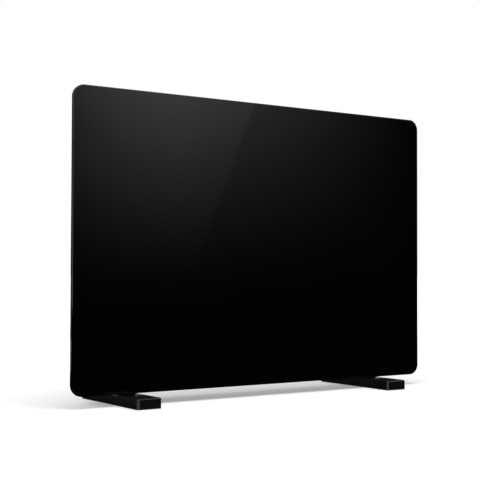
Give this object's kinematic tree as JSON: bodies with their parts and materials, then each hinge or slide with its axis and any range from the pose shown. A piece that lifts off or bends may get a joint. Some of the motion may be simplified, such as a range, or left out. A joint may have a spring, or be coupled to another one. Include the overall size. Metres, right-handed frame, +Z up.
{
  "type": "glass panel heater",
  "caption": "Free-standing electric convector with a frameless black glass front on two low bar feet, a louvred steel back and a thermostat dial with rocker switches on its right-hand end.",
  "frame": {"origin": "on the floor, under the middle of the glass panel and midway along the feet", "axes": "+X along the panel to the right as seen from the front, +Y to the back, +Z up"},
  "size_m": [0.6, 0.16, 0.416],
  "materials": {
    "black_glass": "polished",
    "silicone": "matte",
    "black_steel": "fine texture powder coat",
    "zinc_steel": "satin",
    "black_screw": "satin",
    "bright_aluminium": "bright",
    "ceramic": "matte",
    "black_plastic": "satin",
    "dial_plastic": "fine satin",
    "rocker_plastic": "gloss",
    "bakelite": "satin",
    "brass": "bright",
    "red_lens": "clear red",
    "lamp_glass": "clear",
    "white_plastic": "satin",
    "lead_black": "satin",
    "lead_blue": "satin",
    "lead_green": "satin",
    "rubber": "matte"
  },
  "bodies": {
    "heater_body": {"glass_panel": "black_glass", "bond_strips": "silicone", "chassis": "zinc_steel", "rear_cover": "black_steel", "cover_screws": "black_screw", "heating_element_lower": "bright_aluminium", "heating_element_upper": "bright_aluminium", "element_bushes": "ceramic", "element_bracket": "zinc_steel", "partition_plate": "zinc_steel", "chassis_rivets": "zinc_steel", "heat_shield": "bright_aluminium", "shield_rivets": "zinc_steel", "overheat_cutout": "bakelite", "cutout_screws": "zinc_steel", "control_fascia": "black_plastic", "fascia_screws": "black_screw", "thermostat_body": "bakelite", "thermostat_screws": "zinc_steel", "switch_body_upper": "black_plastic", "switch_body_lower": "black_plastic", "indicator_lens": "red_lens", "indicator_lamp": "lamp_glass", "terminal_blades": "brass", "terminal_block": "white_plastic", "terminal_clamps": "brass", "terminal_fixing_screw": "zinc_steel", "earth_lug": "brass", "earth_screw": "brass", "cord_gland": "black_plastic", "gland_nut": "black_plastic", "wall_inserts": "zinc_steel", "foot_inserts": "zinc_steel", "foot_left": "black_plastic", "foot_right": "black_plastic", "foot_screws": "black_screw", "foot_pads": "rubber", "lead_live": "lead_black", "lead_cutout": "lead_black", "lead_thermostat": "lead_black", "lead_switch_link": "lead_black", "lead_element_upper": "lead_black", "lead_element_lower": "lead_black", "lead_neutral": "lead_blue", "lead_neutral_link": "lead_blue", "lead_lamp_live": "lead_black", "lead_lamp_neutral": "lead_blue", "lead_earth": "lead_green"},
    "thermostat_dial": {"thermostat_knob": "dial_plastic", "thermostat_shaft": "brass"},
    "switch_rocker_upper": {"rocker_upper": "rocker_plastic"},
    "switch_rocker_lower": {"rocker_lower": "rocker_plastic"}
  },
  "joints": [
    {"name": "thermostat_turn", "type": "hinge", "parent": "heater_body", "child": "thermostat_dial", "pos_m": [0.2631, 0.005, 0.258], "axis": [-1, 0, 0], "range_deg": [0, 270]},
    {"name": "rocker_upper_tilt", "type": "hinge", "parent": "heater_body", "child": "switch_rocker_upper", "pos_m": [0.2619, 0.005, 0.222], "axis": [0, -1, 0], "range_deg": [0, 16]},
    {"name": "rocker_lower_tilt", "type": "hinge", "parent": "heater_body", "child": "switch_rocker_lower", "pos_m": [0.2619, 0.005, 0.197], "axis": [0, -1, 0], "range_deg": [0, 16]}
  ]
}
